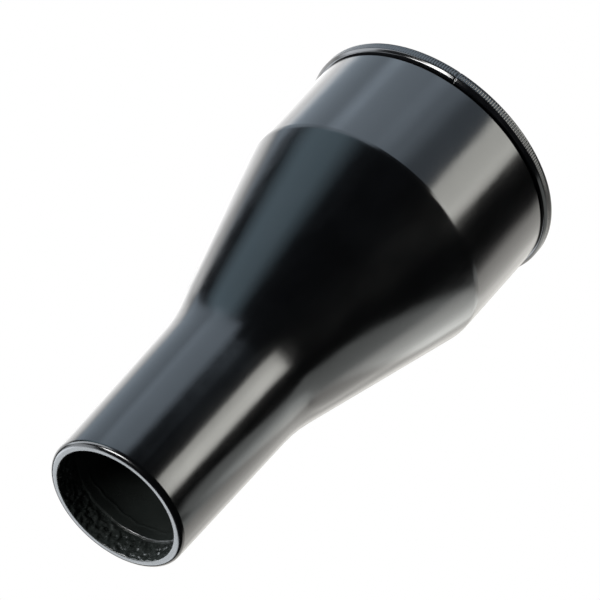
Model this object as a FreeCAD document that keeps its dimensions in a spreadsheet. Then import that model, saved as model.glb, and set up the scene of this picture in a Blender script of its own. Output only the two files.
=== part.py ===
import FreeCAD, Part
import math
import os
import Sketcher

# Dust blower bulb for watchmakers: a moulded rubber bulb (outlet neck, cone, barrel) closed at
# its wide end by a screwed base unit with an air-intake valve and a filter.
# Millimetres, +Z up. The bulb stands on its base ring: the origin is the centre of the
# ring's underside and the outlet mouth is at the top.

doc = FreeCAD.newDocument("DustBlowerBulb")

# ---------------------------------------------------------------------------
# Driving dimensions: alias, value in millimetres (or degrees, or a count), meaning
# ---------------------------------------------------------------------------
DIMENSIONS = [
    ("total_height", 101.5, "base ring underside to mouth"),
    ("neck_mouth_r", 14.09, "outside radius of the neck at the mouth"),
    ("neck_root_r", 14.64, "outside radius where the neck runs into the cone"),
    ("neck_root_z", 63.9, "height of the neck and cone junction"),
    ("barrel_r", 25.0, "outside radius of the barrel"),
    ("crease_z", 23.6, "height of the edge between cone and barrel"),
    ("barrel_end_z", 2.5, "lower end of the rubber barrel"),
    ("wall", 2.0, "rubber wall of cone and barrel"),
    ("socket_r", 12.3, "radius of the outlet socket inside the mouth"),
    ("socket_depth", 5.1, "depth of the outlet socket"),
    ("bore_top_r", 11.85, "neck bore just below the socket"),
    ("bore_root_r", 12.62, "neck bore at the cone"),
    ("flare_radius", 34.0, "soft outside fillet between neck and cone"),
    ("crease_radius", 0.7, "rounding of the cone and barrel edge"),
    ("lip_radius", 0.95, "outside rounding of the mouth"),
    ("lip_inner_radius", 0.2, "inside rounding of the mouth"),
    ("barrel_bevel", 0.45, "bevel on the barrel's lower edge"),
    ("bead_z", 8.0, "lower side of the collar's locking bead"),
    ("bead_width", 1.6, "height of the locking bead"),
    ("bead_rise", 0.5, "how far the bead stands into the rubber"),
    ("ring_r", 25.7, "outside radius of the ribbed rim ring"),
    ("ring_flange", 2.2, "height of the rim ring's flange"),
    ("ring_bottom_round", 0.45, "rounding of the ring's lower edge"),
    ("ring_top_bevel", 0.5, "bevel of the ring's upper edge"),
    ("spigot_r", 20.3, "threaded spigot of the rim ring, at the thread crests"),
    ("spigot_bore_r", 18.0, "inside radius of the spigot"),
    ("spigot_top_z", 9.0, "top of the spigot"),
    ("clip_recess_r", 19.3, "recess in the ring's underside for the clip"),
    ("clip_recess_z", 2.6, "height of the clip recess"),
    ("collar_bore_r", 20.6, "threaded bore of the collar, at the thread crests"),
    ("collar_bottom_z", 2.9, "lower end of the collar"),
    ("collar_top_z", 14.0, "upper end of the collar"),
    ("shoulder_r", 17.6, "inside radius of the collar's sealing shoulder"),
    ("shoulder_z", 12.5, "underside of the sealing shoulder"),
    ("key_inner_r", 19.9, "inner face of the collar's anti-rotation keys"),
    ("key_width", 3.0, "width of one key"),
    ("key_bottom_z", 9.4, "lower end of the keys"),
    ("key_gap", 0.25, "clearance of a key in its notch, each side"),
    ("key_count", 3, "keys around the collar"),
    ("plate_flange_r", 20.2, "flange of the valve plate"),
    ("plate_flange_z", 9.2, "underside of the flange"),
    ("plate_top_z", 11.1, "top of the flange"),
    ("plate_cup_r", 17.6, "outside radius of the plate's cup wall"),
    ("plate_upper_r", 16.2, "inside radius above the web"),
    ("plate_recess_r", 15.6, "inside radius of the filter recess"),
    ("plate_bottom_z", 0.9, "lower end of the cup wall"),
    ("web_bottom_z", 5.8, "underside of the valve web"),
    ("web_top_z", 7.6, "top of the valve web"),
    ("seat_height", 0.6, "height of the two seat ridges"),
    ("seat_width", 0.8, "width of a seat ridge"),
    ("seat_inner_r", 5.0, "inner radius of the inner ridge"),
    ("seat_outer_r", 9.4, "inner radius of the outer ridge"),
    ("port_r", 1.2, "radius of an intake port"),
    ("port_circle_r", 7.6, "radius of the ring of ports"),
    ("port_count", 10, "intake ports"),
    ("clip_inner_r", 17.05, "inside radius of the retaining clip"),
    ("clip_outer_r", 18.9, "outside radius of the retaining clip"),
    ("clip_bottom_z", 1.5, "underside of the clip"),
    ("clip_thickness", 0.8, "thickness of the clip"),
    ("clip_opening", 36.0, "gap of the clip in degrees"),
    ("gasket_inner_r", 17.8, "inside radius of the gasket"),
    ("gasket_outer_r", 19.6, "outside radius of the gasket"),
    ("gasket_thickness", 1.2, "thickness of the gasket"),
    ("stem_r", 1.2, "radius of the valve stem"),
    ("stem_head_r", 2.2, "radius of the stem's head"),
    ("stem_head_height", 0.9, "height of the stem's head"),
    ("stem_top_z", 14.9, "top of the stem"),
    ("disc_r", 10.6, "radius of the valve disc"),
    ("disc_hole_r", 1.28, "hole of the valve disc"),
    ("disc_bottom_z", 8.3, "underside of the valve disc"),
    ("disc_thickness", 0.8, "thickness of the valve disc"),
    ("spring_mean_r", 2.4, "mean radius of the valve spring"),
    ("spring_wire_r", 0.18, "wire radius of the valve spring"),
    ("spring_bottom_z", 9.4, "centre of the spring's lowest wire"),
    ("spring_rise", 3.8, "height between its lowest and highest wire"),
    ("spring_turns", 5.0, "turns of the valve spring"),
    ("keeper_r", 3.4, "radius of the spring keeper"),
    ("keeper_bottom_z", 13.5, "underside of the spring keeper"),
    ("keeper_thickness", 0.8, "thickness of the spring keeper"),
    ("cage_inner_r", 11.6, "inside radius of the valve cage"),
    ("cage_wall_r", 12.8, "outside radius of the cage wall"),
    ("cage_flange_r", 15.8, "radius of the cage flange"),
    ("cage_flange_top_z", 8.8, "top of the cage flange"),
    ("cage_roof_z", 16.0, "underside of the cage roof"),
    ("cage_top_z", 17.2, "top of the cage"),
    ("window_bottom_z", 9.8, "lower edge of the cage windows"),
    ("window_height", 5.2, "height of a cage window"),
    ("window_width", 8.0, "width of a cage window"),
    ("window_count", 6, "windows around the cage"),
    ("screw_circle_r", 14.3, "circle of the cage screws"),
    ("screw_hole_r", 0.85, "clearance hole in the cage flange"),
    ("screw_r", 0.75, "shank radius of a cage screw"),
    ("screw_head_r", 1.35, "head radius of a cage screw"),
    ("screw_head_height", 0.9, "head height of a cage screw"),
    ("screw_tip_z", 6.2, "lower end of a cage screw"),
    ("driver_slot", 0.4, "width of the driver slot"),
    ("driver_slot_depth", 0.35, "depth of the driver slot"),
    ("screw_count", 3, "cage screws"),
    ("cover_r", 15.3, "outside radius of the filter cover"),
    ("cover_skirt_r", 14.2, "inside radius of the cover's skirt"),
    ("cover_floor_top_z", 2.3, "inner face of the cover"),
    ("cover_skirt_top_z", 5.2, "top of the cover's skirt"),
    ("grip_bottom_z", 0.3, "lowest face of the cover's grip bar"),
    ("grip_width", 2.0, "width of the grip bar"),
    ("grip_length", 14.0, "length of the grip bar"),
    ("slot_width", 1.5, "width of an intake slot"),
    ("slot_inner_r", 8.2, "inner end of an intake slot"),
    ("slot_outer_r", 13.0, "outer end of an intake slot"),
    ("slot_count", 18, "intake slots around the cover"),
    ("cover_edge", 0.4, "rounding of the cover's outer edge"),
    ("grip_edge", 0.25, "rounding of the grip bar"),
    ("lead_in", 0.3, "chamfer on edges that guide a piece in"),
    ("filter_r", 13.9, "radius of the filter pad"),
    ("filter_bottom_z", 2.4, "underside of the filter pad"),
    ("filter_thickness", 2.3, "thickness of the filter pad"),
]

sheet = doc.addObject("Spreadsheet::Sheet", "Dims")
for row, (alias, value, meaning) in enumerate(DIMENSIONS, start=1):
    sheet.set(f"A{row}", meaning)
    sheet.set(f"B{row}", str(value))
    sheet.setAlias(f"B{row}", alias)
doc.recompute()

ALIASES = sorted((alias for alias, _, _ in DIMENSIONS), key=len, reverse=True)
EDGE_TOLERANCE = 0.01


def formula(text):
    """The sheet expression for a formula written with bare aliases."""
    words = []
    word = ""
    for letter in text + " ":
        if letter.isalnum() or letter == "_":
            word += letter
            continue
        words.append("Dims." + word if word in ALIASES else word)
        words.append(letter)
        word = ""
    return "".join(words).strip()


def value_of(text):
    """The present value of a formula."""
    return float(sheet.evalExpression(formula(text)))


# ---------------------------------------------------------------------------
# Shared construction steps
# ---------------------------------------------------------------------------
def new_body(label):
    body = doc.addObject("PartDesign::Body", label)
    body.Label = label
    body.Placement = FreeCAD.Placement()
    return body


def origin_feature(body, role):
    for feature in body.Origin.OriginFeatures:
        if feature.Role == role:
            return feature
    raise ValueError(f"{body.Label} has no {role}")


def new_sketch(body, name, plane, height=None):
    """A sketch on one of the body's own planes; height lifts it above the XY plane."""
    sketch = body.newObject("Sketcher::SketchObject", f"{body.Label}_{name}")
    sketch.AttachmentSupport = [(origin_feature(body, plane), "")]
    sketch.MapMode = "FlatFace"
    if height is not None:
        sketch.setExpression("AttachmentOffset.Base.z", formula(height))
    return sketch


def place_point(sketch, geometry, point, across, up):
    """Pin one sketch point at two sheet formulas, measured from the origin."""
    for kind, axis, text in (("DistanceX", -2, across), ("DistanceY", -1, up)):
        if abs(value_of(text)) < 1e-9:
            sketch.addConstraint(Sketcher.Constraint("PointOnObject", geometry, point, axis))
            continue
        index = sketch.addConstraint(
            Sketcher.Constraint(kind, -1, 1, geometry, point, value_of(text)))
        sketch.setExpression(f"Constraints[{index}]", formula(text))


def closed_outline(sketch, corners):
    """Straight segments through the corners, each corner held by the sheet."""
    points = [FreeCAD.Vector(value_of(a), value_of(b), 0) for a, b in corners]
    following = [(i + 1) % len(points) for i in range(len(points))]
    for point, i in zip(points, following):
        sketch.addGeometry(Part.LineSegment(point, points[i]), False)
    for i, j in enumerate(following):
        sketch.addConstraint(Sketcher.Constraint("Coincident", i, 2, j, 1))
    for i, (across, up) in enumerate(corners):
        place_point(sketch, i, 1, across, up)


def turned(label, corners, angle="360"):
    """A body turned about Z from an outline of (radius, height) corners."""
    body = new_body(label)
    sketch = new_sketch(body, "profile", "XZ_Plane")
    closed_outline(sketch, corners)
    turn = body.newObject("PartDesign::Revolution", f"{label}_turned")
    turn.Profile = sketch
    turn.ReferenceAxis = (sketch, ["V_Axis"])
    turn.setExpression("Angle", formula(angle))
    doc.recompute()
    return body


def round_edges(shape, radius, height):
    """Names of the circular edges about Z at one radius and height."""
    names = []
    for i, edge in enumerate(shape.Edges, start=1):
        curve = edge.Curve
        if not isinstance(curve, Part.Circle):
            continue
        same_radius = abs(curve.Radius - radius) < EDGE_TOLERANCE
        if same_radius and abs(curve.Center.z - height) < EDGE_TOLERANCE:
            names.append(f"Edge{i}")
    if not names:
        raise ValueError(f"no round edge at radius {radius}, height {height}")
    return names


def level_edges(shape, height):
    """Names of the straight edges that lie in one level plane."""
    names = []
    for i, edge in enumerate(shape.Edges, start=1):
        level = all(abs(vertex.Point.z - height) < EDGE_TOLERANCE for vertex in edge.Vertexes)
        if level and isinstance(edge.Curve, Part.Line):
            names.append(f"Edge{i}")
    return names


def dress(body, name, kind, edges, size):
    """A Fillet or Chamfer on named edges of the body's present tip."""
    base = body.Tip
    feature = body.newObject(f"PartDesign::{kind}", f"{body.Label}_{name}")
    feature.Base = (base, edges)
    feature.setExpression("Radius" if kind == "Fillet" else "Size", formula(size))
    doc.recompute()
    return feature


def soften(body, name, kind, places, size):
    """A Fillet or Chamfer on the round edges at the given (radius, height) formulas."""
    edges = []
    for radius, height in places:
        edges += round_edges(body.Shape, value_of(radius), value_of(height))
    return dress(body, name, kind, edges, size)


def cut(body, name, sketch, depth=None, both_sides=False):
    """A Pocket below its sketch, or right through on both sides; it must remove material."""
    before = body.Shape.Volume
    pocket = body.newObject("PartDesign::Pocket", f"{body.Label}_{name}")
    pocket.Profile = sketch
    if both_sides:
        pocket.Type = "ThroughAll"
        pocket.Midplane = True
    else:
        pocket.setExpression("Length", formula(depth))
    doc.recompute()
    if body.Shape.Volume >= before:
        raise ValueError(f"{body.Label}_{name} cut nothing")
    return pocket


def repeat(body, name, feature, count):
    """Repeat one feature around Z."""
    pattern = body.newObject("PartDesign::PolarPattern", f"{body.Label}_{name}")
    pattern.Originals = [feature]
    pattern.Axis = (origin_feature(body, "Z_Axis"), [""])
    pattern.setExpression("Occurrences", formula(count))
    body.Tip = pattern
    doc.recompute()
    return pattern


def circle_sketch(body, name, height, distance, radius):
    """One circle on the X axis, at a height."""
    sketch = new_sketch(body, name, "XY_Plane", height)
    centre = FreeCAD.Vector(value_of(distance), 0, 0)
    circle = Part.Circle(centre, FreeCAD.Vector(0, 0, 1), value_of(radius))
    sketch.addGeometry(circle, False)
    place_point(sketch, 0, 3, distance, "0")
    index = sketch.addConstraint(Sketcher.Constraint("Radius", 0, value_of(radius)))
    sketch.setExpression(f"Constraints[{index}]", formula(radius))
    return sketch


def rectangle_sketch(body, name, plane, height, across, up):
    """A rectangle between two formulas across and two formulas up."""
    sketch = new_sketch(body, name, plane, height)
    corners = [(across[0], up[0]), (across[1], up[0]), (across[1], up[1]), (across[0], up[1])]
    closed_outline(sketch, corners)
    return sketch


# ---------------------------------------------------------------------------
# Rubber bulb: neck, cone and barrel in one wall, open at both ends
# ---------------------------------------------------------------------------
def make_bulb_shell():
    inner_r = "barrel_r - wall"
    body = turned("bulb_shell", [
        (inner_r, "barrel_end_z"),
        ("barrel_r", "barrel_end_z"),
        ("barrel_r", "crease_z"),
        ("neck_root_r", "neck_root_z"),
        ("neck_mouth_r", "total_height"),
        ("socket_r", "total_height"),
        ("socket_r", "total_height - socket_depth"),
        ("bore_top_r", "total_height - socket_depth"),
        ("bore_root_r", "neck_root_z - wall / 4"),
        (inner_r, "crease_z - wall / 4"),
        (inner_r, "bead_z + bead_width"),
        ("barrel_r - wall + bead_rise", "bead_z + bead_width"),
        ("barrel_r - wall + bead_rise", "bead_z"),
        (inner_r, "bead_z"),
    ])
    soften(body, "flare", "Fillet",
           [("neck_root_r", "neck_root_z"), ("bore_root_r", "neck_root_z - wall / 4")],
           "flare_radius")
    soften(body, "crease", "Fillet",
           [("barrel_r", "crease_z"), (inner_r, "crease_z - wall / 4")], "crease_radius")
    soften(body, "lip", "Fillet", [("neck_mouth_r", "total_height")], "lip_radius")
    soften(body, "lip_inner", "Fillet", [("socket_r", "total_height")], "lip_inner_radius")
    soften(body, "end_bevel", "Chamfer", [("barrel_r", "barrel_end_z")], "barrel_bevel")


# ---------------------------------------------------------------------------
# Threaded collar bonded inside the wide end, with a sealing shoulder and keys
# ---------------------------------------------------------------------------
def make_base_collar():
    outer_r = "barrel_r - wall"
    body = turned("base_collar", [
        ("collar_bore_r", "collar_bottom_z"),
        (outer_r, "collar_bottom_z"),
        (outer_r, "bead_z"),
        ("barrel_r - wall + bead_rise", "bead_z"),
        ("barrel_r - wall + bead_rise", "bead_z + bead_width"),
        (outer_r, "bead_z + bead_width"),
        (outer_r, "collar_top_z"),
        ("shoulder_r", "collar_top_z"),
        ("shoulder_r", "shoulder_z"),
        ("collar_bore_r", "shoulder_z"),
    ])
    soften(body, "lead_in", "Chamfer", [("collar_bore_r", "collar_bottom_z")], "lead_in")
    sketch = rectangle_sketch(body, "key", "XY_Plane", "key_bottom_z",
                              ("key_inner_r", "collar_bore_r + wall / 4"),
                              ("0 - key_width / 2", "key_width / 2"))
    key = body.newObject("PartDesign::Pad", "base_collar_key_pad")
    key.Profile = sketch
    key.setExpression("Length", formula("shoulder_z - key_bottom_z + wall / 4"))
    doc.recompute()
    repeat(body, "keys", key, "key_count")


# ---------------------------------------------------------------------------
# Rim ring: ribbed flange outside, threaded spigot inside
# ---------------------------------------------------------------------------
def make_rim_ring():
    body = turned("rim_ring", [
        ("clip_recess_r", "0"),
        ("ring_r", "0"),
        ("ring_r", "ring_flange"),
        ("spigot_r", "ring_flange"),
        ("spigot_r", "spigot_top_z"),
        ("spigot_bore_r", "spigot_top_z"),
        ("spigot_bore_r", "clip_recess_z"),
        ("clip_recess_r", "clip_recess_z"),
    ])
    soften(body, "lower_edge", "Fillet", [("ring_r", "0")], "ring_bottom_round")
    soften(body, "upper_edge", "Chamfer", [("ring_r", "ring_flange")], "ring_top_bevel")
    soften(body, "spigot_tip", "Chamfer", [("spigot_r", "spigot_top_z")], "lead_in")
    soften(body, "recess_edge", "Chamfer", [("clip_recess_r", "0")], "lead_in")


# ---------------------------------------------------------------------------
# Valve plate: flange, cup wall with clip groove, web with seat ridges and ports
# ---------------------------------------------------------------------------
def make_valve_plate():
    clip_top = "clip_bottom_z + clip_thickness"
    seat_top = "web_top_z + seat_height"
    body = turned("valve_plate", [
        ("stem_r", "web_bottom_z"),
        ("plate_recess_r", "web_bottom_z"),
        ("plate_recess_r", "plate_bottom_z"),
        ("plate_cup_r", "plate_bottom_z"),
        ("plate_cup_r", "clip_bottom_z"),
        ("clip_inner_r", "clip_bottom_z"),
        ("clip_inner_r", clip_top),
        ("plate_cup_r", clip_top),
        ("plate_cup_r", "plate_flange_z"),
        ("plate_flange_r", "plate_flange_z"),
        ("plate_flange_r", "plate_top_z"),
        ("plate_upper_r", "plate_top_z"),
        ("plate_upper_r", "web_top_z"),
        ("seat_outer_r + seat_width", "web_top_z"),
        ("seat_outer_r + seat_width", seat_top),
        ("seat_outer_r", seat_top),
        ("seat_outer_r", "web_top_z"),
        ("seat_inner_r + seat_width", "web_top_z"),
        ("seat_inner_r + seat_width", seat_top),
        ("seat_inner_r", seat_top),
        ("seat_inner_r", "web_top_z"),
        ("stem_r", "web_top_z"),
    ])
    soften(body, "rim_edges", "Chamfer",
           [("plate_recess_r", "plate_bottom_z"), ("plate_cup_r", "plate_bottom_z")], "lead_in")
    web = "web_top_z - web_bottom_z"
    port = cut(body, "port", circle_sketch(body, "port_circle", "web_top_z",
                                           "port_circle_r", "port_r"), web)
    repeat(body, "ports", port, "port_count")
    pilot = cut(body, "pilot", circle_sketch(body, "pilot_circle", "web_top_z",
                                             "screw_circle_r", "screw_r"), web)
    repeat(body, "pilots", pilot, "screw_count")
    notch_sketch = rectangle_sketch(body, "notch_outline", "XY_Plane", "plate_top_z",
                                    ("key_inner_r - key_gap", "plate_flange_r + wall"),
                                    ("0 - key_width / 2 - key_gap", "key_width / 2 + key_gap"))
    notch = cut(body, "notch", notch_sketch, "plate_top_z - plate_flange_z")
    repeat(body, "notches", notch, "key_count")


def make_base_gasket():
    top = "plate_top_z + gasket_thickness"
    turned("base_gasket", [
        ("gasket_inner_r", "plate_top_z"),
        ("gasket_outer_r", "plate_top_z"),
        ("gasket_outer_r", top),
        ("gasket_inner_r", top),
    ])


def make_retaining_clip():
    """Open snap ring in the valve plate's groove, which keeps the rim ring on the plate."""
    top = "clip_bottom_z + clip_thickness"
    turned("retaining_clip", [
        ("clip_inner_r", "clip_bottom_z"),
        ("clip_outer_r", "clip_bottom_z"),
        ("clip_outer_r", top),
        ("clip_inner_r", top),
    ], angle="360 - clip_opening")


# ---------------------------------------------------------------------------
# Intake valve: stem, disc, spring, keeper, cage and its screws
# ---------------------------------------------------------------------------
def make_valve_stem():
    head_bottom = "web_bottom_z - stem_head_height"
    body = turned("valve_stem", [
        ("0", head_bottom),
        ("stem_head_r", head_bottom),
        ("stem_head_r", "web_bottom_z"),
        ("stem_r", "web_bottom_z"),
        ("stem_r", "stem_top_z"),
        ("0", "stem_top_z"),
    ])
    soften(body, "tip", "Chamfer", [("stem_r", "stem_top_z")], "stem_r / 4")


def make_valve_disc():
    top = "disc_bottom_z + disc_thickness"
    body = turned("valve_disc", [
        ("disc_hole_r", "disc_bottom_z"),
        ("disc_r", "disc_bottom_z"),
        ("disc_r", top),
        ("disc_hole_r", top),
    ])
    soften(body, "rim", "Fillet", [("disc_r", top)], "disc_thickness / 3")


def make_valve_spring():
    body = new_body("valve_spring")
    sketch = new_sketch(body, "wire", "XZ_Plane")
    centre = FreeCAD.Vector(value_of("spring_mean_r"), value_of("spring_bottom_z"), 0)
    wire = Part.Circle(centre, FreeCAD.Vector(0, 0, 1), value_of("spring_wire_r"))
    sketch.addGeometry(wire, False)
    place_point(sketch, 0, 3, "spring_mean_r", "spring_bottom_z")
    index = sketch.addConstraint(Sketcher.Constraint("Radius", 0, value_of("spring_wire_r")))
    sketch.setExpression(f"Constraints[{index}]", formula("spring_wire_r"))
    coil = body.newObject("PartDesign::AdditiveHelix", "valve_spring_coil")
    coil.Profile = sketch
    coil.ReferenceAxis = (sketch, ["V_Axis"])
    coil.Mode = "height-turns-angle"
    coil.setExpression("Height", formula("spring_rise"))
    coil.setExpression("Turns", formula("spring_turns"))
    doc.recompute()


def make_spring_keeper():
    top = "keeper_bottom_z + keeper_thickness"
    turned("spring_keeper", [
        ("stem_r", "keeper_bottom_z"),
        ("keeper_r", "keeper_bottom_z"),
        ("keeper_r", top),
        ("stem_r", top),
    ])


def make_valve_cage():
    body = turned("valve_cage", [
        ("cage_inner_r", "web_top_z"),
        ("cage_flange_r", "web_top_z"),
        ("cage_flange_r", "cage_flange_top_z"),
        ("cage_wall_r", "cage_flange_top_z"),
        ("cage_wall_r", "cage_top_z"),
        ("0", "cage_top_z"),
        ("0", "cage_roof_z"),
        ("cage_inner_r", "cage_roof_z"),
    ])
    soften(body, "roof_edge", "Fillet", [("cage_wall_r", "cage_top_z")], "wall / 4")
    outline = rectangle_sketch(body, "window_outline", "XZ_Plane", None,
                               ("0 - window_width / 2", "window_width / 2"),
                               ("window_bottom_z", "window_bottom_z + window_height"))
    window = cut(body, "window", outline, both_sides=True)
    repeat(body, "windows", window, "window_count")
    hole = cut(body, "screw_hole", circle_sketch(body, "screw_circle", "cage_flange_top_z",
                                                 "screw_circle_r", "screw_hole_r"),
               "cage_flange_top_z - web_top_z")
    repeat(body, "screw_holes", hole, "screw_count")


def make_cage_screws():
    """One slotted cheese-head screw, then copies around the cage in one node."""
    head_top = "cage_flange_top_z + screw_head_height"
    screw = turned("cage_screw_master", [
        ("0", "screw_tip_z"),
        ("screw_r", "screw_tip_z"),
        ("screw_r", "cage_flange_top_z"),
        ("screw_head_r", "cage_flange_top_z"),
        ("screw_head_r", head_top),
        ("0", head_top),
    ])
    slot = rectangle_sketch(screw, "slot_outline", "XY_Plane", head_top,
                            ("0 - screw_head_r * 2", "screw_head_r * 2"),
                            ("0 - driver_slot / 2", "driver_slot / 2"))
    cut(screw, "slot", slot, "driver_slot_depth")
    count = int(value_of("screw_count"))
    copies = []
    for i in range(count):
        turn = 2 * math.pi * i / count
        copy = screw.Shape.copy()
        reach = value_of("screw_circle_r")
        copy.translate(FreeCAD.Vector(reach * math.cos(turn), reach * math.sin(turn), 0))
        copies.append(copy)
    group = doc.addObject("Part::Feature", "cage_screws")
    group.Label = "cage_screws"
    group.Shape = Part.makeCompound(copies)
    group.Placement = FreeCAD.Placement()


# ---------------------------------------------------------------------------
# Filter: foam pad under a slotted cover that pushes into the valve plate
# ---------------------------------------------------------------------------
def make_filter_cover():
    body = turned("filter_cover", [
        ("0", "plate_bottom_z"),
        ("cover_r", "plate_bottom_z"),
        ("cover_r", "cover_skirt_top_z"),
        ("cover_skirt_r", "cover_skirt_top_z"),
        ("cover_skirt_r", "cover_floor_top_z"),
        ("0", "cover_floor_top_z"),
    ])
    soften(body, "outer_edge", "Fillet", [("cover_r", "plate_bottom_z")], "cover_edge")
    sketch = rectangle_sketch(body, "grip_outline", "XY_Plane", "grip_bottom_z",
                              ("0 - grip_length / 2", "grip_length / 2"),
                              ("0 - grip_width / 2", "grip_width / 2"))
    grip = body.newObject("PartDesign::Pad", "filter_cover_grip")
    grip.Profile = sketch
    grip.setExpression("Length", formula("plate_bottom_z - grip_bottom_z + wall / 8"))
    doc.recompute()
    dress(body, "grip_edges", "Fillet", level_edges(body.Shape, value_of("grip_bottom_z")),
          "grip_edge")
    outline = rectangle_sketch(body, "slot_outline", "XY_Plane", "cover_floor_top_z",
                               ("slot_inner_r", "slot_outer_r"),
                               ("0 - slot_width / 2", "slot_width / 2"))
    slot = cut(body, "slot", outline, "cover_floor_top_z - plate_bottom_z")
    repeat(body, "slots", slot, "slot_count")


def make_filter_pad():
    top = "filter_bottom_z + filter_thickness"
    turned("filter_pad", [
        ("0", "filter_bottom_z"),
        ("filter_r", "filter_bottom_z"),
        ("filter_r", top),
        ("0", top),
    ])


# ---------------------------------------------------------------------------
# Build, check and write one file for each sub-part
# ---------------------------------------------------------------------------
NODES = {
    "bulb_shell": make_bulb_shell,
    "base_collar": make_base_collar,
    "rim_ring": make_rim_ring,
    "valve_plate": make_valve_plate,
    "base_gasket": make_base_gasket,
    "retaining_clip": make_retaining_clip,
    "valve_stem": make_valve_stem,
    "valve_disc": make_valve_disc,
    "valve_spring": make_valve_spring,
    "spring_keeper": make_spring_keeper,
    "valve_cage": make_valve_cage,
    "cage_screws": make_cage_screws,
    "filter_cover": make_filter_cover,
    "filter_pad": make_filter_pad,
}

for make in NODES.values():
    make()
doc.recompute()

for item in doc.Objects:
    if "Invalid" in item.State or "Error" in item.State:
        raise RuntimeError(f"{item.Name} did not compute: {item.State}")

os.makedirs("parts", exist_ok=True)
for label in NODES:
    shape = doc.getObjectsByLabel(label)[0].Shape
    if shape.isNull() or not shape.isValid():
        raise RuntimeError(f"{label} has no valid shape")
    shape.exportStep(f"parts/{label}.step")
    print(f"{label}: {len(shape.Solids)} solid(s), {shape.Volume:.1f} mm3")
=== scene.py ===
import math

import bmesh
import bpy
from mathutils import Matrix, Vector, noise


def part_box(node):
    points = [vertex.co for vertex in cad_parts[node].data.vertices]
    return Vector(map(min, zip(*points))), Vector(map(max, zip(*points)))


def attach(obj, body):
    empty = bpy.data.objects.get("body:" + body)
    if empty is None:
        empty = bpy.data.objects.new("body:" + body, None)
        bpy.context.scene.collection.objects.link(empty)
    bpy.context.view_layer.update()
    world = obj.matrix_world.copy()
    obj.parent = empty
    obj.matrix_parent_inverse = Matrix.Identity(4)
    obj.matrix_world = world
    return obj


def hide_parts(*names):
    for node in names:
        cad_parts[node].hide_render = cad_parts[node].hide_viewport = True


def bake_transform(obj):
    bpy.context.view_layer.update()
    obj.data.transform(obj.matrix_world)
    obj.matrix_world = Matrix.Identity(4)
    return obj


# Looks of the dust blower bulb: a semi-gloss black rubber bulb standing on its ribbed rim ring,
# with the intake valve and filter unit inside the wide end. Metres, in the CAD's frame, +Z up
# along the bulb's axis.

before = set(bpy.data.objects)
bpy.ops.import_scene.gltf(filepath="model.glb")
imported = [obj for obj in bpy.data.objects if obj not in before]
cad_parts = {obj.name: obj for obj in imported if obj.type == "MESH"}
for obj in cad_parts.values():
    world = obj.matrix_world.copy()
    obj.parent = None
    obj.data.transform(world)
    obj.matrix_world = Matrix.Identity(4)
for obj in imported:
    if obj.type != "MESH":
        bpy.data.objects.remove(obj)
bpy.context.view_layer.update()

MM = 0.001
SHELL_LOW, SHELL_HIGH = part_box("bulb_shell")
_, RING_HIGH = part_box("rim_ring")
PAD_LOW, PAD_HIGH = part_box("filter_pad")


# ---------------------------------------------------------------------------
# Meshes
# ---------------------------------------------------------------------------
ARC_STEP = math.radians(6)
SMALL_ARC_STEP = math.radians(18)
SMALL_RADIUS = 0.29 * MM
WELD_REACH = 1e-7

# The rounding of edges that stay out of sight.
SMALL_ROUND = 0.1 * MM


def new_object(name, data):
    """A new object, linked to the scene."""
    made = bpy.data.objects.new(name, data)
    bpy.context.scene.collection.objects.link(made)
    return made


def smooth_piece(name, verts, faces):
    """A smooth-shaded object, its coinciding points merged and its faces turned outwards."""
    mesh = bpy.data.meshes.new(name)
    mesh.from_pydata(verts, [], faces)
    work = bmesh.new()
    work.from_mesh(mesh)
    bmesh.ops.remove_doubles(work, verts=work.verts, dist=WELD_REACH)
    bmesh.ops.recalc_face_normals(work, faces=work.faces)
    work.to_mesh(mesh)
    work.free()
    mesh.shade_smooth()
    return new_object(name, mesh)


def corner_arc(before, corner, after, radius):
    """Points that round one corner of an outline; a zero radius keeps the corner."""
    here = Vector(corner)
    if radius <= 0:
        return [here]
    to_before = (Vector(before) - here).normalized()
    to_after = (Vector(after) - here).normalized()
    half = to_before.angle(to_after) / 2
    reach = radius / math.tan(half)
    middle = here + (to_before + to_after).normalized() * radius / math.sin(half)
    first = here + to_before * reach - middle
    last = here + to_after * reach - middle
    sweep = math.pi - 2 * half
    step = SMALL_ARC_STEP if radius < SMALL_RADIUS else ARC_STEP
    count = max(2, math.ceil(sweep / step))
    points = []
    for i in range(count + 1):
        share = i / count
        towards_first = math.sin((1 - share) * sweep) / math.sin(sweep)
        towards_last = math.sin(share * sweep) / math.sin(sweep)
        points.append(middle + first * towards_first + last * towards_last)
    return points


def fill_run(start, end, longest):
    """Evenly spaced points between two outline points, no further apart than longest."""
    pieces = max(1, math.ceil((end - start).length / longest))
    return [start.lerp(end, i / pieces) for i in range(1, pieces)]


def rounded_outline(corners):
    """A closed outline through corners of (radius, height, rounding, longest run after it)."""
    points = []
    for i, (radius, height, rounding, _) in enumerate(corners):
        before = corners[i - 1][:2]
        after = corners[(i + 1) % len(corners)][:2]
        arc = corner_arc(before, (radius, height), after, rounding)
        if points:
            points += fill_run(points[-1], arc[0], corners[i - 1][3])
        points += arc
    points += fill_run(points[-1], points[0], corners[-1][3])
    return points


def turned_point(radius, angle, height):
    """The point at a radius and an angle about the bulb's axis."""
    return radius * math.cos(angle), radius * math.sin(angle), height


def turned_mesh(name, outline, columns, place):
    """A closed mesh turned about Z. place(radius, angle, height) moves each point."""
    verts = []
    for i in range(columns):
        angle = 2 * math.pi * i / columns
        for point in outline:
            radius, height = place(point[0], angle, point[1])
            verts.append(turned_point(radius, angle, height))
    rows = len(outline)
    faces = []
    for i in range(columns):
        here = i * rows
        following = (i + 1) % columns * rows
        for j in range(rows):
            k = (j + 1) % rows
            faces.append((here + j, following + j, following + k, here + k))
    return smooth_piece(name, verts, faces)


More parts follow.
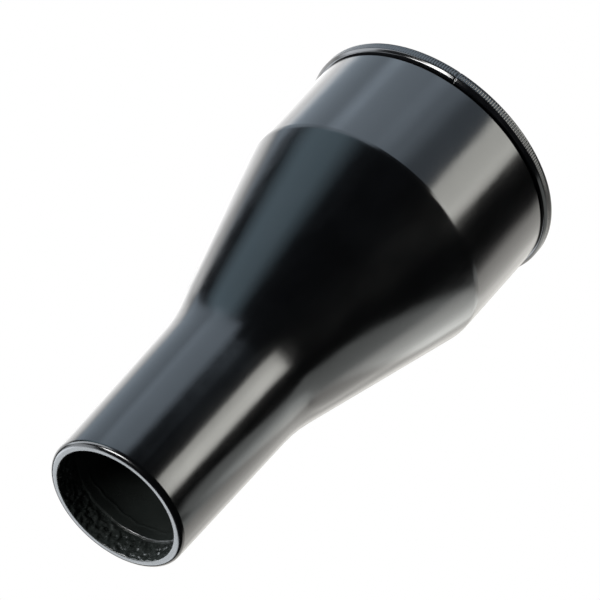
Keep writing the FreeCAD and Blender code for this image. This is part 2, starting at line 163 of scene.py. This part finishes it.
def bump_at(radius, angle, height, size):
    """Smooth noise from -1 to 1 on a turned surface, with features of about one size."""
    return noise.noise(Vector(turned_point(radius, angle, height)) / size)


# ---------------------------------------------------------------------------
# Shader nodes
# ---------------------------------------------------------------------------
# Noise nodes give values that lie mostly between these two.
NOISE_LOW = 0.3
NOISE_HIGH = 0.7


def blank_tree(owner):
    """The emptied node tree of a material, a light or a world."""
    owner.use_nodes = True
    owner.node_tree.nodes.clear()
    return owner.node_tree


def add(tree, kind, inputs=None, **settings):
    """One shader node: each input is a value or another node's output."""
    made = tree.nodes.new("ShaderNode" + kind)
    for key, value in settings.items():
        setattr(made, key, value)
    for socket, value in (inputs or {}).items():
        if isinstance(value, bpy.types.NodeSocket):
            tree.links.new(value, made.inputs[socket])
        else:
            made.inputs[socket].default_value = value
    return made


def maths(tree, operation, *values):
    """The result of one operation on numbers."""
    return add(tree, "Math", dict(enumerate(values)), operation=operation).outputs[0]


def new_material(name):
    """An empty material, its Principled shader and its object coordinates in metres."""
    material = bpy.data.materials.new(name)
    tree = blank_tree(material)
    output = add(tree, "OutputMaterial")
    shader = add(tree, "BsdfPrincipled")
    tree.links.new(shader.outputs[0], output.inputs[0])
    place = add(tree, "TexCoord").outputs["Object"]
    return material, tree, shader, place


def grain(tree, place, size, detail=4, stretch=(1, 1, 1)):
    """Noise whose features are about size metres across, longer along a stretched axis."""
    scale = tuple(1 / (size * s) for s in stretch)
    spread = add(tree, "Mapping", {"Vector": place, "Scale": scale})
    noisy = add(tree, "TexNoise", {"Vector": spread.outputs[0], "Scale": 1.0, "Detail": detail})
    return noisy.outputs[0]


def remap(tree, value, low, high, start=NOISE_LOW, end=NOISE_HIGH):
    """A value from start..end turned into low..high."""
    made = add(tree, "MapRange", {"Value": value, "From Min": start, "From Max": end,
                                  "To Min": low, "To Max": high})
    return made.outputs[0]


def tint(tree, value, dark, light):
    """A colour between dark and light."""
    made = add(tree, "ValToRGB", {"Fac": value})
    ends = made.color_ramp.elements
    ends[0].position = NOISE_LOW
    ends[0].color = (*dark, 1)
    ends[1].position = NOISE_HIGH
    ends[1].color = (*light, 1)
    return made.outputs[0]


def surface(tree, shader, colour, roughness, bumps):
    """Gives a shader its colour, its roughness and its bumps of (value, height in metres)."""
    tree.links.new(colour, shader.inputs["Base Color"])
    tree.links.new(roughness, shader.inputs["Roughness"])
    normal = None
    for value, height in bumps:
        inputs = {"Height": value, "Strength": 1.0, "Distance": height}
        if normal:
            inputs["Normal"] = normal
        normal = add(tree, "Bump", inputs).outputs[0]
    tree.links.new(normal, shader.inputs["Normal"])


def from_axis(tree, place):
    """Distance from the bulb's axis, in metres."""
    flat = add(tree, "VectorMath", {0: place, 1: (1, 1, 0)}, operation="MULTIPLY")
    return add(tree, "VectorMath", {0: flat.outputs[0]}, operation="LENGTH").outputs["Value"]


# ---------------------------------------------------------------------------
# Materials
# ---------------------------------------------------------------------------
# On the lip, between these two radii, the neck bore's paler colour, painted light standing in for light
# that reaches into the mouth, turns into the outer skin.
BORE_SKIN_R = 12.9 * MM
OUTER_SKIN_R = 13.3 * MM
BORE_DULLNESS = 0.08
FOAM_CELL = 0.65 * MM


def bulb_rubber():
    """Black moulded rubber: polished, with faint draw marks and smudges, and a duller neck bore painted
    paler as painted light.
    """
    material, tree, shader, place = new_material("bulb_rubber")
    blotches = grain(tree, place, 9 * MM, detail=6)
    skin = grain(tree, place, 0.25 * MM, detail=3)
    draw_marks = grain(tree, place, 0.9 * MM, detail=3, stretch=(1, 1, 40))
    smudges = grain(tree, place, 4 * MM, detail=8, stretch=(1, 1, 2.5))
    inside = remap(tree, from_axis(tree, place), 1.0, 0.0, start=BORE_SKIN_R, end=OUTER_SKIN_R)
    outer_skin = tint(tree, blotches, (0.0007, 0.0008, 0.001), (0.0018, 0.002, 0.0024))
    # The bore's paler colour is painted light: it lightens the inside of the mouth in place of light
    # reaching in.
    painted_light_bore = tint(tree, blotches, (0.008, 0.0096, 0.009), (0.018, 0.021, 0.0195))
    # Inputs 6 and 7 and output 2 are a Mix node's colours.
    skins = add(tree, "Mix", {0: inside, 6: outer_skin, 7: painted_light_bore}, data_type="RGBA")
    worn = remap(tree, smudges, 0.145, 0.2)
    marked = maths(tree, "ADD", worn, remap(tree, draw_marks, -0.012, 0.012))
    rough = maths(tree, "ADD", marked, maths(tree, "MULTIPLY", inside, BORE_DULLNESS))
    bumps = [(blotches, 0.03 * MM), (draw_marks, 0.0012 * MM), (skin, 0.0006 * MM)]
    surface(tree, shader, skins.outputs[2], rough, bumps)
    return material


def moulded(name, dark, light, roughness, texture=0.002 * MM):
    """Moulded plastic or dull rubber: fine eroded texture and slow flow marks."""
    material, tree, shader, place = new_material(name)
    flow = grain(tree, place, 3 * MM, detail=5)
    fine = grain(tree, place, 0.12 * MM, detail=3)
    rough = remap(tree, flow, roughness - 0.04, roughness + 0.04)
    surface(tree, shader, tint(tree, flow, dark, light), rough, [(flow, 3 * texture), (fine, texture)])
    return material


def turned_metal(name, dark, light, roughness):
    """Metal with tool marks that run round the axis."""
    material, tree, shader, place = new_material(name)
    shader.inputs["Metallic"].default_value = 1.0
    rings = add(tree, "CombineXYZ", {0: from_axis(tree, place), 2: place})
    marks = grain(tree, rings.outputs[0], 0.06 * MM, detail=4)
    wear = grain(tree, place, 0.8 * MM, detail=6)
    rough = remap(tree, marks, roughness - 0.08, roughness + 0.08)
    surface(tree, shader, tint(tree, wear, dark, light), rough, [(marks, 0.0015 * MM)])
    return material


def drawn_wire():
    """Bright spring wire with fine marks that lie flat, across the bulb's axis."""
    material, tree, shader, place = new_material("drawn_wire")
    shader.inputs["Metallic"].default_value = 1.0
    marks = grain(tree, place, 0.05 * MM, detail=3, stretch=(6, 6, 1))
    colour = tint(tree, marks, (0.42, 0.42, 0.44), (0.66, 0.66, 0.68))
    surface(tree, shader, colour, remap(tree, marks, 0.18, 0.3), [(marks, 0.001 * MM)])
    return material


def nylon():
    """Natural nylon: waxy, slightly see-through, with pale flow lines."""
    material, tree, shader, place = new_material("nylon")
    shader.inputs["Subsurface Weight"].default_value = 0.15
    shader.inputs["Subsurface Radius"].default_value = (0.9 * MM, 0.8 * MM, 0.6 * MM)
    flow = grain(tree, place, 2.5 * MM, detail=5, stretch=(1, 1, 3))
    fine = grain(tree, place, 0.15 * MM, detail=3)
    colour = tint(tree, flow, (0.6, 0.58, 0.53), (0.76, 0.75, 0.71))
    surface(tree, shader, colour, remap(tree, fine, 0.36, 0.5), [(flow, 0.01 * MM), (fine, 0.002 * MM)])
    return material


def silicone():
    """Red silicone with a soft bloom and fine dust."""
    material, tree, shader, place = new_material("silicone")
    shader.inputs["Sheen Weight"].default_value = 0.15
    bloom = grain(tree, place, 2 * MM, detail=6)
    fine = grain(tree, place, 0.1 * MM, detail=2)
    colour = tint(tree, bloom, (0.36, 0.085, 0.055), (0.5, 0.14, 0.095))
    surface(tree, shader, colour, remap(tree, fine, 0.34, 0.5), [(bloom, 0.012 * MM), (fine, 0.002 * MM)])
    return material


def foam():
    """Open-cell foam: pore middles painted dark as painted shade, paler struts and a little caught dust."""
    material, tree, shader, place = new_material("foam")
    cells = add(tree, "TexVoronoi", {"Vector": place, "Scale": 1 / FOAM_CELL}, feature="DISTANCE_TO_EDGE")
    struts = remap(tree, cells.outputs["Distance"], 1.0, 0.0, start=0.02, end=0.3)
    dust = grain(tree, place, 0.3 * MM, detail=4)
    # The dark pore middles are painted shade in the pores; the struts keep the foam's own pale colour.
    colour = tint(tree, struts, (0.03, 0.032, 0.034), (0.16, 0.165, 0.17))
    surface(tree, shader, colour, remap(tree, dust, 0.8, 0.98), [(struts, 0.12 * MM), (dust, 0.02 * MM)])
    return material


# ---------------------------------------------------------------------------
# Bulb: barrel, cone, soft flare, neck and socketed mouth
# ---------------------------------------------------------------------------
BULB_COLUMNS = 480
BARREL_R = SHELL_HIGH.x
BARREL_END = SHELL_LOW.z
BARREL_BEVEL = 0.45 * MM
BARREL_ROUND = 0.35 * MM
BEVEL_FOOT_ROUND = 0.06 * MM
BULB_TOP = SHELL_HIGH.z
WALL = 2.0 * MM
INNER_R = BARREL_R - WALL

# The crease is a narrow edge on a much wider, softer shoulder.
CREASE_Z = 23.6 * MM
CREASE_ROUND = 0.3 * MM
SHOULDER_RISE = 0.7 * MM
SHOULDER_SINK = 0.075 * MM
SHOULDER_ROUND = 5 * MM
INNER_CREASE_ROUND = 0.7 * MM

NECK_ROOT_R = 14.64 * MM
NECK_ROOT_Z = 63.9 * MM
FLARE_ROUND = 34 * MM
MOUTH_R = 14.09 * MM
LIP_ROUND = 1.05 * MM
LIP_INNER_ROUND = 0.2 * MM

SOCKET_R = 12.3 * MM
SOCKET_DEPTH = 5.1 * MM
SOCKET_FOOT_ROUND = 0.05 * MM
STEP_ROUND = 0.3 * MM
BORE_TOP_R = 11.85 * MM
BORE_ROOT_R = 12.62 * MM

# The top of the bore is finely divided, and a little wider at the end of that stretch.
FINE_BORE = 3.6 * MM
FINE_BORE_TAPER = 0.07 * MM

# The groove inside the barrel that holds the collar's bead.
BEAD_R = INNER_R + 0.5 * MM
BEAD_LOW = 8.0 * MM
BEAD_HIGH = 9.6 * MM


def make_bulb():
    """One wall: up the outside, over the lip, down the socket and bore, and past the groove."""
    fine = 0.2 * MM
    coarse = 3.0 * MM
    step = BULB_TOP - SOCKET_DEPTH
    outline = rounded_outline([
        (INNER_R, BARREL_END, SMALL_ROUND, coarse),
        (BARREL_R - BARREL_BEVEL, BARREL_END, BEVEL_FOOT_ROUND, coarse),
        (BARREL_R, BARREL_END + BARREL_BEVEL, BARREL_ROUND, coarse),
        (BARREL_R, CREASE_Z, CREASE_ROUND, coarse),
        (BARREL_R - SHOULDER_SINK, CREASE_Z + SHOULDER_RISE, SHOULDER_ROUND, coarse),
        (NECK_ROOT_R, NECK_ROOT_Z, FLARE_ROUND, coarse),
        (MOUTH_R, BULB_TOP, LIP_ROUND, fine),
        (SOCKET_R, BULB_TOP, LIP_INNER_ROUND, fine),
        (SOCKET_R, step, SOCKET_FOOT_ROUND, fine),
        (BORE_TOP_R, step, STEP_ROUND, fine),
        (BORE_TOP_R + FINE_BORE_TAPER, step - FINE_BORE, 0, coarse),
        (BORE_ROOT_R, NECK_ROOT_Z - WALL / 4, FLARE_ROUND, coarse),
        (INNER_R, CREASE_Z - WALL / 4, INNER_CREASE_ROUND, coarse),
        (INNER_R, BEAD_HIGH, SMALL_ROUND, coarse),
        (BEAD_R, BEAD_HIGH, SMALL_ROUND, coarse),
        (BEAD_R, BEAD_LOW, SMALL_ROUND, coarse),
        (INNER_R, BEAD_LOW, SMALL_ROUND, coarse),
    ])
    bulb = turned_mesh("bulb_body", outline, BULB_COLUMNS, socket_wear)
    bulb.data.materials.append(bulb_rubber())
    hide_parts("bulb_shell")
    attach(bulb, "bulb")


# Only points up to this radius are worn: the socket, the step and the top of the bore.
WEAR_R = SOCKET_R + 0.01 * MM

# Hammering of the socket wall, with a finer one at half its size. It fades out near the lip and
# near the step.
HAMMER_DEPTH = 0.36 * MM
HAMMER_SIZE = 0.9 * MM
FINE_SHARE = 0.5
LIP_MARGIN = 0.6 * MM
STEP_MARGIN = 0.9 * MM

# The step's edge rises and falls.
RAGGED_HEIGHT = 0.16 * MM
RAGGED_SIZE = 1.4 * MM
RAGGED_REACH = 0.6 * MM

# A thin, wandering line of moulding flash below the step.
FLASH_DEPTH = 7.4 * MM
FLASH_WANDER = 0.5 * MM
FLASH_WAVE = 2.2 * MM
FLASH_WIDTH = 0.16 * MM
FLASH_HEIGHT = 0.14 * MM
FLASH_REACH = 1.2 * MM


def socket_wear(radius, angle, height):
    """The hammered wall of the socket, its ragged step and the flash line below it."""
    depth = BULB_TOP - height
    if radius > WEAR_R or depth > FLASH_DEPTH + FLASH_REACH:
        return radius, height
    wavy = FLASH_DEPTH + FLASH_WANDER * bump_at(SOCKET_R, angle, 0, FLASH_WAVE)
    ridge = math.exp(-((depth - wavy) / FLASH_WIDTH) ** 2)
    from_step = abs(depth - SOCKET_DEPTH)
    worn = radius
    if depth < SOCKET_DEPTH:
        coarse = bump_at(radius, angle, height, HAMMER_SIZE)
        hammered = coarse + FINE_SHARE * bump_at(radius, angle, height, HAMMER_SIZE / 2)
        worn += HAMMER_DEPTH * hammered * min(1, depth / LIP_MARGIN, from_step / STEP_MARGIN)
    if from_step < RAGGED_REACH:
        ragged = RAGGED_HEIGHT * bump_at(SOCKET_R, angle, 0, RAGGED_SIZE)
        height += ragged * (1 - from_step / RAGGED_REACH)
    return worn - FLASH_HEIGHT * ridge, height


# ---------------------------------------------------------------------------
# Rim ring: fine ribs between a smooth bevel and a rounded lower edge
# ---------------------------------------------------------------------------
RING_R = RING_HIGH.x
FLANGE_TOP = 2.2 * MM
RING_BEVEL = 0.5 * MM
BEVEL_ROUND = 0.25 * MM
LOWER_EDGE_ROUND = 0.45 * MM
SPIGOT_R = 20.3 * MM
SPIGOT_BORE_R = 18.0 * MM
SPIGOT_TOP = 9.0 * MM
SPIGOT_ROUND = 0.2 * MM
CLIP_RECESS_R = 19.3 * MM
CLIP_RECESS_TOP = 2.6 * MM
RECESS_ROUND = 0.15 * MM

RIB_COUNT = 300
COLUMNS_PER_RIB = 6
RIB_DEPTH = 0.1 * MM
GROOVE_SHARPNESS = 3
RIB_LOW = 0.5 * MM
RIB_HIGH = 1.65 * MM
RIB_TIP = 0.2 * MM
FACE_DEPTH = 0.6 * MM

# One shallow joint mark crosses the ribs.
JOINT_MARK = math.radians(-75.4)
JOINT_WIDTH = math.radians(0.55)
JOINT_DEPTH = 0.12 * MM


def make_ring():
    """A ribbed flange outside and the threaded spigot, whose thread isn't modelled, inside."""
    fine = 0.14 * MM
    coarse = 2.0 * MM
    outline = rounded_outline([
        (CLIP_RECESS_R, 0, RECESS_ROUND, coarse),
        (RING_R, 0, LOWER_EDGE_ROUND, fine),
        (RING_R, FLANGE_TOP - RING_BEVEL, BEVEL_ROUND, fine),
        (RING_R - RING_BEVEL, FLANGE_TOP, BEVEL_ROUND, coarse),
        (SPIGOT_R, FLANGE_TOP, SMALL_ROUND, coarse),
        (SPIGOT_R, SPIGOT_TOP, SPIGOT_ROUND, coarse),
        (SPIGOT_BORE_R, SPIGOT_TOP, SPIGOT_ROUND, coarse),
        (SPIGOT_BORE_R, CLIP_RECESS_TOP, SMALL_ROUND, coarse),
        (CLIP_RECESS_R, CLIP_RECESS_TOP, SMALL_ROUND, coarse),
    ])
    ring = turned_mesh("rim_ring_ribbed", outline, RIB_COUNT * COLUMNS_PER_RIB, ribbed)
    plastic = moulded("rim_plastic", (0.002, 0.0022, 0.0026), (0.005, 0.0053, 0.006), 0.11, 0.0003 * MM)
    ring.data.materials.append(plastic)
    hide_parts("rim_ring")
    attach(ring, "ring")


def ribbed(radius, angle, height):
    """Ribs on the ring's outer face, and one shallow joint mark across it."""
    if radius < RING_R - FACE_DEPTH:
        return radius, height
    from_mark = abs((angle - JOINT_MARK + math.pi) % (2 * math.pi) - math.pi)
    if from_mark < JOINT_WIDTH:
        return radius - JOINT_DEPTH * math.cos(from_mark / JOINT_WIDTH * math.pi / 2), height
    if not RIB_LOW < height < RIB_HIGH:
        return radius, height
    edge = min(height - RIB_LOW, RIB_HIGH - height)
    groove = (0.5 - 0.5 * math.cos(angle * RIB_COUNT)) ** GROOVE_SHARPNESS
    return radius - RIB_DEPTH * min(1, edge / RIB_TIP) * groove, height


# ---------------------------------------------------------------------------
# Valve spring: a fixed helix of round wire from the disc up to the keeper
# ---------------------------------------------------------------------------
SPRING_R = 2.4 * MM
WIRE_R = 0.18 * MM
SPRING_FOOT = 9.4 * MM
SPRING_TOP = 13.2 * MM
SPRING_TURNS = 5
STEPS_PER_TURN = 48
WIRE_SIDES = 12


def make_spring():
    """A helix of round wire with flat ends."""
    steps = SPRING_TURNS * STEPS_PER_TURN
    verts = []
    for i in range(steps + 1):
        turn = 2 * math.pi * i / STEPS_PER_TURN
        middle = SPRING_FOOT + (SPRING_TOP - SPRING_FOOT) * i / steps
        for k in range(WIRE_SIDES):
            around = 2 * math.pi * k / WIRE_SIDES
            radius = SPRING_R + WIRE_R * math.cos(around)
            verts.append(turned_point(radius, turn, middle + WIRE_R * math.sin(around)))
    faces = []
    for i in range(steps):
        for k in range(WIRE_SIDES):
            here = i * WIRE_SIDES + k
            beside = i * WIRE_SIDES + (k + 1) % WIRE_SIDES
            faces.append((here, beside, beside + WIRE_SIDES, here + WIRE_SIDES))
    faces.append(tuple(range(WIRE_SIDES)))
    faces.append(tuple(range(steps * WIRE_SIDES, (steps + 1) * WIRE_SIDES)))
    spring = smooth_piece("wire_spring", verts, faces)
    spring.data.materials.append(drawn_wire())
    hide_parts("valve_spring")
    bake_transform(spring)


# ---------------------------------------------------------------------------
# Filter pad: a disc of open-cell foam with soft edges, behind the cover's slots
# ---------------------------------------------------------------------------
PAD_COLUMNS = 240
PAD_R = PAD_HIGH.x - 0.15 * MM
PAD_BOTTOM = PAD_LOW.z + 0.02 * MM
PAD_TOP = PAD_HIGH.z - 0.02 * MM
PAD_MIDDLE = (PAD_BOTTOM + PAD_TOP) / 2
PAD_ROUND = 0.5 * MM
PAD_ROW = 0.18 * MM
PORE_DEPTH = 0.22 * MM
PORE_STEEPNESS = 2


def make_filter_pad():
    """A foam disc, a little smaller than the plain one that it stands for."""
    outline = rounded_outline([
        (0, PAD_BOTTOM, 0, PAD_ROW),
        (PAD_R, PAD_BOTTOM, PAD_ROUND, PAD_ROW),
        (PAD_R, PAD_TOP, PAD_ROUND, PAD_ROW),
        (0, PAD_TOP, 0, PAD_ROW),
    ])
    pad = turned_mesh("foam_pad", outline, PAD_COLUMNS, open_cells)
    pad.data.materials.append(foam())
    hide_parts("filter_pad")
    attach(pad, "cover")


def open_cells(radius, angle, height):
    """Sinks each cell's middle below the struts that part the cells."""
    spot = Vector(turned_point(radius, angle, height)) / FOAM_CELL
    nearest, second = noise.voronoi(spot)[0][:2]
    pore = min(1, (second - nearest) * PORE_STEEPNESS) * PORE_DEPTH
    if radius > PAD_R - PAD_ROW:
        return radius - pore, height
    inwards = 1 if height < PAD_MIDDLE else -1
    return radius, height + inwards * pore


# ---------------------------------------------------------------------------
# Base unit and valve: the shapes come from the frame, the finishes from here
# ---------------------------------------------------------------------------
def finish_nodes():
    """Gives each node that keeps its shape a material of its own."""
    steel = ((0.4, 0.4, 0.42), (0.6, 0.6, 0.62))
    finishes = {
        "base_collar": moulded("collar_plastic", (0.04, 0.04, 0.045), (0.06, 0.06, 0.065), 0.5),
        "valve_plate": moulded("plate_plastic", (0.02, 0.02, 0.022), (0.036, 0.036, 0.04), 0.42),
        "base_gasket": moulded("gasket_rubber", (0.02, 0.02, 0.02), (0.036, 0.036, 0.036), 0.65),
        "retaining_clip": turned_metal("clip_steel", *steel, 0.32),
        "valve_stem": turned_metal("stem_brass", (0.6, 0.42, 0.17), (0.78, 0.6, 0.3), 0.28),
        "valve_disc": silicone(),
        "spring_keeper": turned_metal("keeper_steel", *steel, 0.35),
        "valve_cage": nylon(),
        "cage_screws": turned_metal("screw_steel", *steel, 0.3),
        "filter_cover": moulded("cover_plastic", (0.014, 0.014, 0.017), (0.026, 0.026, 0.03), 0.3),
    }
    for node, material in finishes.items():
        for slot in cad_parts[node].material_slots:
            slot.material = material


# ---------------------------------------------------------------------------
# Camera: the bulb's mouth towards the lower left, its base towards the upper right
# ---------------------------------------------------------------------------
CAMERA_AIM = Vector((0.000355, 0, 0.04315))
CAMERA_DISTANCE = 1.2895
CAMERA_ELEVATION = math.radians(34.175)
CAMERA_ROLL = math.radians(-137.727)
CAMERA_LENS = 433.2
SENSOR_WIDTH = 36
CLIP_END = 20


def make_camera():
    """The only camera: a long lens, turned so that the bulb lies across the picture."""
    camera = new_object("camera", bpy.data.cameras.new("camera"))
    camera.data.lens = CAMERA_LENS
    camera.data.sensor_width = SENSOR_WIDTH
    camera.data.clip_end = CLIP_END
    back = Vector((0, -math.cos(CAMERA_ELEVATION), math.sin(CAMERA_ELEVATION)))
    level = Matrix.Rotation(math.pi / 2 - CAMERA_ELEVATION, 4, "X")
    roll = Matrix.Rotation(CAMERA_ROLL, 4, "Z")
    camera.matrix_world = Matrix.Translation(CAMERA_AIM + back * CAMERA_DISTANCE) @ level @ roll
    bpy.context.scene.camera = camera


# ---------------------------------------------------------------------------
# Studio: softboxes round the bulb, a white floor and a white surround
# ---------------------------------------------------------------------------
END_FADE = 0.15

WHITE = (1, 1, 1)
COOL = (0.83, 0.99, 1.16)
BLUE = (0.7, 0.99, 1.18)
WARM = (1.02, 1.0, 0.95)
CARD = (0.95, 1.0, 0.98)
CREAM = (1.0, 1.0, 0.94)
PALE = (0.95, 1.0, 1.06)


def direction(azimuth, elevation):
    """From the bulb outwards: azimuth 0 is towards the camera's side and grows towards -X."""
    turn = math.radians(azimuth)
    lift = math.radians(elevation)
    return Vector((-math.sin(turn) * math.cos(lift), -math.cos(turn) * math.cos(lift), math.sin(lift)))


def soft_edges(light, shares):
    """Fades a light to nothing towards its edges; shares are the faded parts of its half sides.

    Parametric coordinates run from 0 to 1 across the light.
    """
    tree = blank_tree(light)
    spot = add(tree, "SeparateXYZ", {0: add(tree, "NewGeometry").outputs["Parametric"]})
    levels = []
    for axis, share in enumerate(shares):
        reach = maths(tree, "ABSOLUTE", maths(tree, "SUBTRACT", spot.outputs[axis], 0.5))
        levels.append(remap(tree, reach, 1.0, 0.0, start=0.5 * (1 - share), end=0.5))
    glow = add(tree, "Emission", {"Strength": maths(tree, "MULTIPLY", *levels)})
    add(tree, "OutputLight", {0: glow.outputs[0]})


def softbox(name, azimuths, elevations, radiance, colour, distance=0.6, height=0.05, tilt=0, fade=12):
    """A rectangular light over a span of azimuths and elevations, seen from the axis.

    Its sides fade over the angle fade, centred on each end of the span of azimuths, so that two
    softboxes that share an end make one smooth sweep.
    """
    turn = sum(azimuths) / 2
    lift = sum(elevations) / 2
    away = direction(turn, lift)
    half_turn = (azimuths[1] - azimuths[0] + fade) / 2
    half_lift = (elevations[1] - elevations[0]) / 2
    light = bpy.data.lights.new(name, "AREA")
    light.shape = "RECTANGLE"
    light.size = 2 * distance * math.tan(math.radians(half_turn)) * math.cos(math.radians(lift))
    light.size_y = 2 * distance * math.tan(math.radians(half_lift))
    light.energy = radiance * math.pi * light.size * light.size_y
    light.color = colour
    soft_edges(light, (fade / half_turn, END_FADE))
    box = new_object(name, light)
    spin = Matrix.Rotation(math.radians(tilt), 4, "Z")
    facing = away.to_track_quat("Z", "Y").to_matrix().to_4x4() @ spin
    box.matrix_world = Matrix.Translation(Vector((0, 0, height)) + away * distance) @ facing
    box.visible_camera = False


def make_lights():
    """The strip highlight, the pale left and right sides, the mouth and the underside."""
    softbox("strip", (17, 49), (-48, -19), 7.0, CREAM, fade=4)
    softbox("strip_top", (29, 41), (-34, -19), 2.6, CREAM, fade=8)
    softbox("strip_edge", (38, 45), (-48, -22), 1.2, CREAM, fade=3)

    softbox("left_back", (-172, -128), (-50, -24), 2.2, WHITE, fade=9)
    softbox("left_low", (-128, -80), (-48, -21), 1.4, COOL)
    softbox("left_front", (-82, -37), (-48, -20), 2.2, COOL)
    softbox("front_fill", (-37, -14), (-50, -28.5), 1.8, COOL, distance=0.4)
    softbox("front_low", (-14, 16), (-50, -30), 0.8, COOL, distance=0.4)
    softbox("left_back_high", (-176, -129), (-25.5, 12), 2.6, WHITE, fade=14)
    softbox("left_high", (-96, -54), (-22, -3), 1.4, BLUE, fade=20)

    softbox("right_back", (104, 145), (-50, -22), 1.65, WARM, distance=0.8)
    softbox("right_rear", (145, 172), (-50, -22), 1.4, WARM, distance=0.8)
    softbox("right_high", (106, 176), (-25, 12), 1.5, WARM, distance=0.8)
    softbox("right_top", (92, 105), (-33, -19), 1.35, CARD, distance=0.8, fade=10)
    softbox("right_card", (88, 109.5), (-40, 34), 1.35, CARD, distance=0.08, height=0.022, tilt=-53, fade=4)

    softbox("bevel_light", (-80, -40), (41, 55), 34, WHITE, distance=0.8, fade=8)
    softbox("mouth_light", (-125, -58), (0, 26), 6.5, PALE, distance=0.8)
    softbox("mouth_back", (-165, -110), (26, 56), 3.6, PALE, distance=0.8)
    softbox("lip_light", (152, 208), (24, 46), 6, PALE, distance=0.8)

    softbox("under_back", (135, 225), (-84, -56), 2.2, WHITE)
    softbox("under_front", (-45, 45), (-84, -62), 1.2, WHITE)


# The floor clears the filter cover at the limits of its two joints, 8.5 mm below rest.
FLOOR_Z = -9 * MM
FLOOR_HALF = 3.0
AMBIENT = 0.015


def make_floor():
    """A white floor that only the camera sees, clear from below."""
    near, far = -FLOOR_HALF, FLOOR_HALF
    corners = [(near, near, FLOOR_Z), (far, near, FLOOR_Z), (far, far, FLOOR_Z), (near, far, FLOOR_Z)]
    mesh = bpy.data.meshes.new("floor")
    mesh.from_pydata(corners, [], [(0, 1, 2, 3)])
    floor = new_object("floor", mesh)
    material = bpy.data.materials.new("white_floor")
    tree = blank_tree(material)
    below = add(tree, "NewGeometry").outputs["Backfacing"]
    glow = add(tree, "Emission").outputs[0]
    clear = add(tree, "BsdfTransparent").outputs[0]
    mix = add(tree, "MixShader", {0: below, 1: glow, 2: clear})
    add(tree, "OutputMaterial", {0: mix.outputs[0]})
    mesh.materials.append(material)
    floor.visible_diffuse = False
    floor.visible_glossy = False
    floor.visible_shadow = False


def make_surround():
    """White where the camera looks past the bulb, nearly dark for everything it reflects."""
    world = bpy.data.worlds.new("studio")
    tree = blank_tree(world)
    seen = add(tree, "Background", {"Color": (1, 1, 1, 1)}).outputs[0]
    ambient = add(tree, "Background", {"Color": (AMBIENT, AMBIENT, AMBIENT, 1)}).outputs[0]
    by_camera = add(tree, "LightPath").outputs["Is Camera Ray"]
    mix = add(tree, "MixShader", {0: by_camera, 1: ambient, 2: seen})
    add(tree, "OutputWorld", {0: mix.outputs[0]})
    bpy.context.scene.world = world
    bpy.context.scene.view_settings.view_transform = "Standard"


make_camera()
make_bulb()
make_ring()
make_spring()
make_filter_pad()
finish_nodes()
make_lights()
make_floor()
make_surround()
